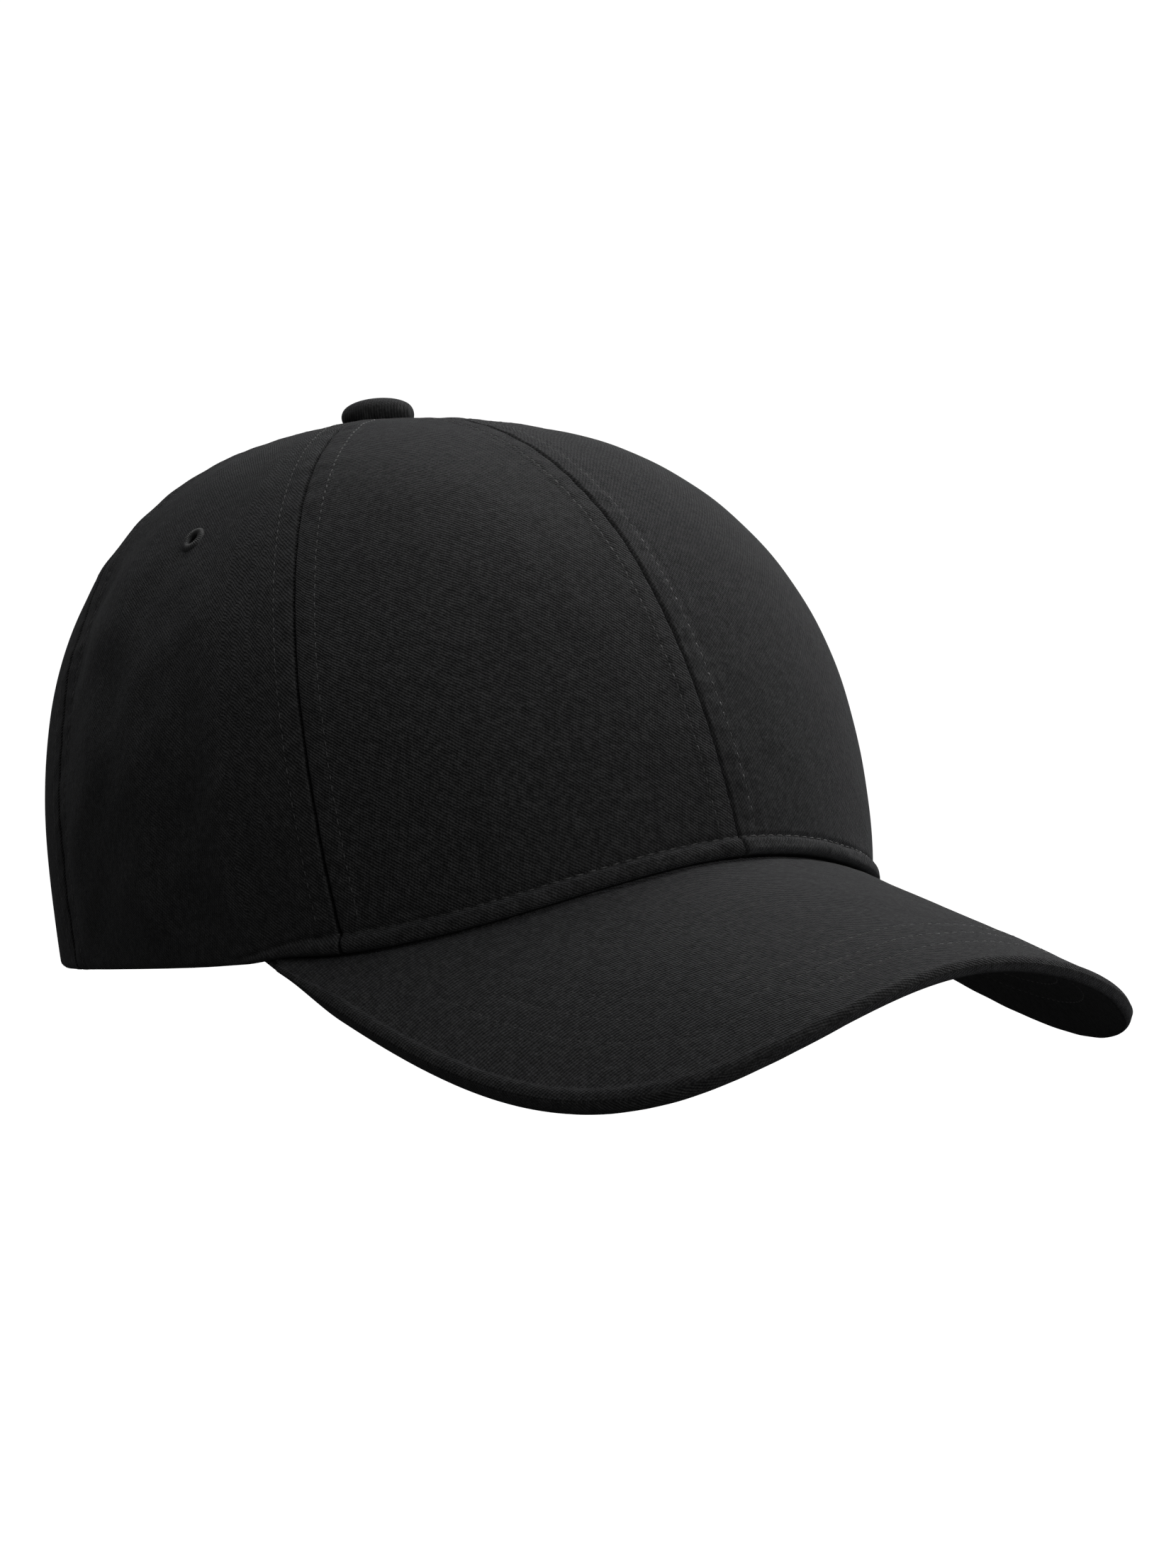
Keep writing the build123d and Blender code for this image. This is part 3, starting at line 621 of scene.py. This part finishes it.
tape_rows, tape_across = [], np.linspace(-1, 1, 17)
for seam_name, seam in SEAMS.items():
    start = share_at(OPENING_HEIGHT + BINDING_WIDTH) if seam == REAR_CENTRE else 0.0
    if abs(seam) < TIP_ANGLE:
        start = meeting_share(np.array([seam]), VISOR_THICKNESS)[0]
    shares = np.linspace(start + 0.002, 0.962, 130)
    columns = [beside_seam(shares, seam, c * TAPE_WIDTH / 2) if c else np.full(len(shares), seam)
               for c in tape_across]
    angle = np.stack(columns, 1)
    share = np.broadcast_to(shares[:, None], angle.shape)
    base, normal = crown(share, angle), crown_normal(share, angle)
    crease = 0.35 * (1 - np.abs(tape_across)) ** 1.5 + 0.16 * hump(np.abs(tape_across), 0.8, 0.12)
    points = base - normal * (TAPE_DEPTH + crease + 0.05 * unevenness(base, 9))[..., None]
    cloth(f"tape_{seam_name}", points, "seam_tape", TAPE, -normal, replaced=[f"{seam_name}_seam_tape"])
    for c in (2, 14):
        tape_rows.append((points[:, c], -normal[:, c]))
stitches("tape_stitching", tape_rows, pitch=3.4, length=2.6)

binding = []
for margin in np.linspace(0, BINDING_WIDTH, 13):
    share, angles = opening_line(np.radians(np.linspace(-89.5, 89.5, 181)), margin, lowest=0.2)
    normal = crown_normal(share, angles)
    puff = 0.25 * math.sin(math.pi * margin / BINDING_WIDTH) ** 0.5
    binding.append((crown(share, angles) - normal * (BINDING_DEPTH + puff), normal))
points, normal = (np.stack([b[k] for b in binding]) for k in (0, 1))
cloth("opening_binding", points, "seam_tape", BINDING, -normal, replaced=["rear_arch_binding"])
stitches("binding_stitching", [(points[k], -normal[k]) for k in (3, 10)])

# ---- Sweatband, its padding, and the blank label ----
# Profiles are depths inside the wall and heights above the band's foot
BAND_PROFILE = np.array([(4.0, 32.4), (4.25, 33.6), (4.7, 34.0), (5.1, 33.5), (5.2, 32.2), (5.1, 30.2),
                         (5.3, 28.0), (5.35, 17.0), (5.3, 6.0), (5.1, 3.2), (4.5, 1.5), (3.4, 0.7),
                         (2.2, 0.45), (1.2, 0.5)])
BAND_STITCH_HEIGHT = 30.2
BAND_FOOT = 6.0          # height up to which the band keeps its shape where it is squeezed
PADDING_PROFILE = np.array([(2.0, 1.4), (1.95, 6.0), (1.95, 16.0), (2.0, 27.0), (2.4, 30.6), (3.0, 31.4),
                            (3.7, 30.6), (4.35, 27.0), (4.6, 16.0), (4.55, 6.0), (4.1, 2.0), (3.0, 1.2)])


def resample(profile, count):
    """A profile with its points spread evenly by number."""
    steps = np.linspace(0, len(profile) - 1, count)
    return np.stack([np.interp(steps, np.arange(len(profile)), profile[:, k]) for k in (0, 1)], 1)


def band_ends(gap):
    """Last angle of a band that stops a distance from the middle of the rear."""
    fine = np.linspace(100, 179, 2000)
    return float(np.interp(-gap, -crown(0.05, fine, 5.0)[:, 0], fine))


def band_points(profile, angles, low_depth):
    """Sweeps a profile of depths and heights round the crown, standing on the visor's underside in front."""
    floor = wall_height(meeting_share(angles, VISOR_THICKNESS, low_depth))
    deep, high = profile[:, 0][:, None], profile[:, 1][:, None]
    left = (SWEATBAND_HEIGHT - BAND_FOOT - floor) / (SWEATBAND_HEIGHT - BAND_FOOT)
    squeeze = floor + np.where(high > BAND_FOOT, BAND_FOOT + (high - BAND_FOOT) * left, high)
    share = share_at(squeeze)
    angle = np.broadcast_to(angles, share.shape)
    base, normal = crown(share, angle), crown_normal(share, angle)
    level = unit(normal * (1, 1, 0.35))
    return base - level * deep[..., None], normal, base


end = band_ends(SWEATBAND_GAP)
profile = resample(BAND_PROFILE, 60)
points, normal, base = band_points(profile, even_angles(-end, end, 420, share=0.1), 5.0)
ripple = 0.16 * unevenness(base, 26) + 0.07 * unevenness(base, 9)
ripple *= np.interp(profile[:, 1], [1, 6, 30, 33], [0, 1, 1, 0.3])[:, None]
points = points - normal * ripple[..., None]
cloth("sweatband_face", points, "sweatband_twill", BAND, -normal, replaced=["sweatband"])
row = int(np.abs(profile[:30, 1] - BAND_STITCH_HEIGHT).argmin())
stitches("sweatband_stitching", [(points[row], -normal[row])])

end = band_ends(PADDING_GAP)
points, normal, base = band_points(PADDING_PROFILE, even_angles(-end, end, 240, share=0.1), 4.0)
padding = make_object("band_padding", points.reshape(-1, 3), tube_faces(*points.shape[:2]), "foam",
                      replaced=["sweatband_padding"])

heights = np.linspace(LABEL_FOOT, LABEL_HEAD, 30)
around = np.linspace(40, 140, 1500)
along = np.linspace(-LABEL_HALF_WIDTH, LABEL_HALF_WIDTH, 34)
label_angles = np.interp(along, -crown(0.05, around)[::-1, 1], around[::-1])
share, angle = np.meshgrid(share_at(heights), label_angles, indexing="ij")
base, normal = crown(share, angle), crown_normal(share, angle)
level = unit(normal * (1, 1, 0.35))
points = base - level * (LABEL_DEPTH + 0.03 * unevenness(base, 6))[..., None]
cloth("label_blank", points, "woven_label", LABEL, -normal, replaced=["care_label"])
rows = [(points[1], -normal[1]), (points[-2], -normal[-2]), (points[:, 1], -normal[:, 1]),
        (points[:, -2], -normal[:, -2])]
stitches("label_stitching", rows, pitch=2.6, length=1.9, thread=0.2)

# ---- Visor covers ----
tip = crown(0.0, TIP_ANGLE)
spread_power = 2 / VISOR_POWER


def outline(turn):
    """The visor's edge in plan, a superellipse from tip to tip."""
    depth = RIM_LENGTH / 2 + VISOR_REACH + tip[1]
    x = tip[0] * np.sign(turn) * np.abs(np.sin(turn)) ** spread_power
    return np.stack([x, tip[1] - depth * np.cos(turn) ** spread_power], -1)


# Evenly spread columns round the outline
fine = np.radians(np.linspace(-89.6, 89.6, 4000))
edge = outline(fine)
run = run_lengths(edge, 0)
outer = outline(np.interp(np.linspace(0, run[-1], 300), run, fine))
tangent = unit(np.gradient(outer, axis=0))
out_normal = np.stack([tangent[:, 1], -tangent[:, 0]], -1)
out_normal *= np.sign((out_normal * (outer - (0, tip[1] + 8))).sum(-1, keepdims=True))
outline_run = run_lengths(outer, 0)
inner_angles = np.interp(outline_run / outline_run[-1], [0, 1], [-TIP_ANGLE, TIP_ANGLE])
from_tip = np.minimum(outline_run, outline_run[-1] - outline_run)
thickness = TIP_THICKNESS + (VISOR_THICKNESS - TIP_THICKNESS) * smooth(from_tip, 3, 20)


def inner_edge(depth, crown_depth):
    """Where the visor's surface at a depth meets the wall, in plan."""
    shares = meeting_share(inner_angles, depth)
    return crown(shares, inner_angles, crown_depth)[:, :2]


def visor_cover(name, under, crown_depth, node):
    """One cover, from the wall out and half round the visor's edge. Returns its stitch lines."""
    sign = 1 - 2 * under
    turns = np.linspace(sign * math.pi / 2, 0, 9)[1:]
    depth = thickness * under
    inside = inner_edge(VISOR_THICKNESS * under, crown_depth)
    rim = outer - out_normal * thickness[:, None] / 2
    across = np.linspace(0, 1, 90)
    plan = inside + (rim - inside) * across[:, None, None]
    along = run_lengths(plan, 0)
    square = np.abs((unit(rim - inside) * out_normal).sum(-1))
    height = visor_height(plan[..., 0], plan[..., 1], depth)
    top = np.concatenate([plan, height[..., None]], -1)
    from_edge = (run_lengths(top[::-1], 0)[::-1] + 2.0) * square
    e = 0.02
    slope_x = (visor_height(plan[..., 0] + e, plan[..., 1], depth) - height) / e
    slope_y = (visor_height(plan[..., 0], plan[..., 1] + e, depth) - height) / e
    normal = unit(np.stack([-slope_x, -slope_y, np.ones_like(height)], -1)) * sign
    offset = 0.08 * unevenness(top, 30) + 0.03 * unevenness(top, 9)
    for r in VISOR_ROWS:
        offset -= 0.07 * hump(from_edge, r, 0.5) * smooth(along, 5, 12)
    offset = offset * smooth(along, 0, 3) - (0.85 if sign > 0 else 0.0) * hump(along, 2.2, 0.9)
    top = top + normal * offset[..., None]
    arc, arc_normal = [], []
    for turn in turns:
        push = thickness / 2 * math.cos(turn) + 0.2 * math.exp(-((turn / 0.16) ** 2))
        lip = rim + out_normal * push[:, None]
        z = visor_height(rim[:, 0], rim[:, 1], thickness / 2 * (1 - math.sin(turn)))
        arc.append(np.concatenate([lip, z[:, None]], -1))
        rise = np.full((len(rim), 1), math.sin(turn))
        arc_normal.append(np.concatenate([out_normal * math.cos(turn), rise], -1))
    points = np.concatenate([top, np.stack(arc)])
    normals = np.concatenate([normal, np.stack(arc_normal)])
    # A cloth grid in plan, so that the weave runs straight across the visor
    down = run_lengths(points, 0)
    uvs = np.stack([points[..., 0], -points[..., 1]], -1)
    flat_part = uvs[len(across) - 1]
    beyond = down - down[len(across) - 1]
    extra = np.maximum(beyond, 0)[..., None] * np.stack([out_normal[:, 0], -out_normal[:, 1]], -1)
    uvs = np.where(extra.any(-1, keepdims=True), flat_part + extra, uvs)
    uvs[..., 0] *= 1.12
    cloth(name, points, "visor_twill", COVER, normals, uvs=uvs, replaced=[node])
    lines = []
    for r in VISOR_ROWS:
        picked, picked_normals = [], []
        for c in range(points.shape[1]):
            column = from_edge[:, c]
            if along[-1, c] * square[c] < r + 7:
                continue
            k = np.interp(-r, -column, np.arange(len(column)))
            low = int(k)
            part = k - low
            high = min(low + 1, len(column) - 1)
            picked.append(top[low, c] * (1 - part) + top[high, c] * part)
            picked_normals.append(normal[low, c])
        if len(picked) > 3:
            lines.append((np.array(picked), np.array(picked_normals)))
    return lines


lines = visor_cover("visor_cover_top", 0, 2.3, "visor_top_cover")
stitches("visor_stitching_top", lines, thread=0.14, sunk=0.12)
lines = visor_cover("visor_cover_under", 1, 0.9, "visor_bottom_cover")
stitches("visor_stitching_under", lines, thread=0.16, sunk=0.12)

# ---- Visor board, between the covers and clear of their edges ----
inside, rim = inner_edge(0.0, 0.0), outer - out_normal * BOARD_INSET
held = np.flatnonzero(from_tip > BOARD_FROM_TIP)
start = np.clip(BOARD_FROM_WALL / np.linalg.norm(rim - inside, axis=-1), 0, 0.4)
share = start + (1 - start) * np.linspace(0, 1, 60)[:, None]
plan = (inside + (rim - inside) * share[..., None])[:, held]
board = np.concatenate([plan, visor_height(plan[..., 0], plan[..., 1], BOARD_DEPTH)[..., None]], -1)
cloth("visor_stiffener", board, "visor_board", BOARD, np.broadcast_to((0.0, 0.0, 1.0), board.shape),
      replaced=["visor_board"], declare=False)

# ---- Button ----
turn = np.linspace(0, 2 * np.pi, 96, endpoint=False)
button_profile = np.array([(7.2, -0.15), (7.8, 0.05), (8.15, 0.6), (8.3, 1.4), (8.22, 2.2), (7.85, 3.1),
                           (7.1, 3.9), (5.9, 4.55), (4.4, 5.05), (2.8, 5.35), (1.4, 5.48), (0.25, 5.5)])
profile = resample(button_profile, 44)
for _ in range(3):
    profile[1:-1] = (profile[:-2] + 2 * profile[1:-1] + profile[2:]) / 4
pleats = 1 + 0.012 * np.sin(turn * 9 + 0.5)[None, :] * hump(profile[:, 1], 0.3, 1.0)[:, None]
spread = profile[:, :1] * pleats
points = np.stack([spread * np.cos(turn), APEX_SETBACK + spread * np.sin(turn),
                   BUTTON_BASE + np.broadcast_to(profile[:, 1:], pleats.shape)], -1)
normal = unit(points - (0, APEX_SETBACK, BUTTON_BASE - 3))
cloth("button_cloth", points, "button_twill", BUTTON_CLOTH, normal, uvs=points[..., :2], wrap=True,
      replaced=["button_cover"])

# ---- Strap: folded twill, stitched along both edges; it rides with the slide ----
def rear_arc(degrees, radius):
    """Points in plan on an arc round the strap's centre, in degrees from the middle of the rear."""
    turn = np.radians(90 + degrees)
    return np.stack([radius * np.cos(turn), STRAP_CENTRE + radius * np.sin(turn)], -1)


def band_tube(name, radii, heights, angles, body, node, end_taper=0.0):
    """A folded flat band round the strap's centre, with soft edges and a stitched row along each."""
    (low, high), (start, stop) = heights, angles
    degrees = np.linspace(start, stop, 160)
    mid_radius, half_thick = sum(radii) / 2, (radii[1] - radii[0]) / 2
    mid_height, half_high = (low + high) / 2, (high - low) / 2
    turn = np.linspace(0, 2 * np.pi, 64, endpoint=False)
    out = np.sign(np.cos(turn)) * np.abs(np.cos(turn)) ** 0.42 * half_thick
    up = np.sign(np.sin(turn)) * np.abs(np.sin(turn)) ** 0.22 * half_high
    close = np.ones(len(degrees))
    if end_taper:
        close = np.minimum(1, np.maximum(0.05, np.sqrt(np.clip((stop - degrees) / end_taper, 0, 1))))
    groove = -0.12 * hump(np.abs(up), half_high - EDGE_ROW, 0.5)
    radius = mid_radius + out[:, None] * np.ones(len(degrees)) + (np.sign(out) * groove)[:, None]
    flat = rear_arc(degrees, radius)
    height = mid_height + up[:, None] * (0.75 + 0.25 * close)
    points = np.concatenate([flat, height[..., None]], -1)
    rows, cols = points.shape[:2]
    along = np.broadcast_to(np.radians(degrees) * mid_radius, (rows, cols))
    uvs = np.stack([along, points[..., 2]], -1).reshape(-1, 2)
    obj = make_object(name, points.reshape(-1, 3), tube_faces(rows, cols), "strap_twill", body, uvs, [node])
    rows, sewn = [], degrees[4:-4]
    for edge in (-1, 1):
        for face in (-1, 1):
            level = np.full((len(sewn), 1), mid_height + edge * (half_high - EDGE_ROW))
            line = np.concatenate([rear_arc(sewn, mid_radius + face * (half_thick - 0.05)), level], -1)
            away = line - (0, STRAP_CENTRE, 0)
            away[:, 2] = 0
            rows.append((line, unit(away) * face))
    stitches(f"{name}_stitching", rows, body=body, thread=0.22, sunk=0.1)


band_tube("strap_band", (STRAP_RADIUS - STRAP_HALF_THICKNESS, STRAP_RADIUS + STRAP_HALF_THICKNESS),
          (STRAP_BOTTOM, STRAP_TOP), (-STRAP_HALF_ANGLE, STRAP_HALF_ANGLE), "strap_body", "strap",
          end_taper=4.0)
band_tube("tab_band", TAB_RADII, TAB_HEIGHTS, TAB_ANGLES, "crown", "clasp_tab")

# ---- Floor ----
FLOOR, HALF = -0.36, 8.0     # metres
corners = [(-HALF, -HALF, FLOOR), (HALF, -HALF, FLOOR), (HALF, HALF, FLOOR), (-HALF, HALF, FLOOR)]
mesh = bpy.data.meshes.new("studio_floor")
mesh.from_pydata(corners, [], [(0, 1, 2, 3)])
floor = bpy.data.objects.new("studio_floor", mesh)
white = Shading("studio_white", 0.9)
white.set("Emission Color", (1, 1, 1, 1))
white.set("Emission Strength", 0.85)
white.set("Base Color", (0.95, 0.95, 0.95, 1))
mesh.materials.append(white.material)
bpy.context.scene.collection.objects.link(floor)
floor.visible_diffuse = floor.visible_glossy = False

# ---- Light: a world that is white to the camera and lights the cap from above more than from below ----
SEEN_STRENGTH = 1.05
LIGHT_BY_HEIGHT = {"From Min": -0.6, "From Max": 0.8, "To Min": 0.05, "To Max": 0.34}
world = bpy.data.worlds.new("studio")
world.use_nodes = True
nodes, links = world.node_tree.nodes, world.node_tree.links
seen, lighting = nodes["Background"], nodes.new("ShaderNodeBackground")
seen.inputs["Color"].default_value = lighting.inputs["Color"].default_value = (1, 1, 1, 1)
seen.inputs["Strength"].default_value = SEEN_STRENGTH
sky, split = nodes.new("ShaderNodeTexCoord"), nodes.new("ShaderNodeSeparateXYZ")
rise = nodes.new("ShaderNodeMapRange")
links.new(sky.outputs["Generated"], split.inputs[0])
links.new(split.outputs["Z"], rise.inputs["Value"])
for socket, value in LIGHT_BY_HEIGHT.items():
    rise.inputs[socket].default_value = value
links.new(rise.outputs[0], lighting.inputs["Strength"])
path, mixed = nodes.new("ShaderNodeLightPath"), nodes.new("ShaderNodeMixShader")
links.new(path.outputs["Is Camera Ray"], mixed.inputs[0])
links.new(lighting.outputs[0], mixed.inputs[1])
links.new(seen.outputs[0], mixed.inputs[2])
links.new(mixed.outputs[0], nodes["World Output"].inputs["Surface"])
bpy.context.scene.world = world


def area_light(name, place, aim, size, watts):
    """A round lamp at a place, turned to a point that it aims at, in metres."""
    light = bpy.data.lights.new(name, "AREA")
    light.shape, light.size, light.energy = "DISK", size, watts
    obj = bpy.data.objects.new(name, light)
    obj.location = place
    obj.rotation_euler = (Vector(aim) - Vector(place)).to_track_quat("-Z", "Y").to_euler()
    bpy.context.scene.collection.objects.link(obj)


area_light("top_light", (0.1, 0.05, 1.3), (0, 0, 0.05), 0.8, 8.4)
area_light("front_light", (0.05, -1.45, 0.42), (0, -0.05, 0.04), 0.6, 10.0)
area_light("edge_light", (1.25, 0.15, 0.85), (0, -0.05, 0.05), 0.7, 14.0)

# ---- Camera ----
VIEW_AZ, CAMERA_ROLL = math.radians(-38.16), math.radians(4.96)
DISTANCE, SENSOR, LENS = 0.85, 36.0, 117.7
TARGET = Vector((17.16, -28.5, 31.1)) * MM
back = Vector((math.sin(VIEW_AZ), -math.cos(VIEW_AZ), 0))
side, up = Vector((math.cos(VIEW_AZ), math.sin(VIEW_AZ), 0)), Vector((0, 0, 1))
rolled_side = side * math.cos(CAMERA_ROLL) - up * math.sin(CAMERA_ROLL)
rolled_up = side * math.sin(CAMERA_ROLL) + up * math.cos(CAMERA_ROLL)
camera_data = bpy.data.cameras.new("camera")
camera_data.sensor_fit, camera_data.sensor_width, camera_data.lens = "HORIZONTAL", SENSOR, LENS
camera = bpy.data.objects.new("camera", camera_data)
camera.matrix_world = Matrix.Translation(TARGET + back * DISTANCE) @ Matrix(
    (rolled_side, rolled_up, back)).transposed().to_4x4()
bpy.context.scene.collection.objects.link(camera)
bpy.context.scene.camera = camera
bpy.context.scene.view_settings.view_transform = "Standard"
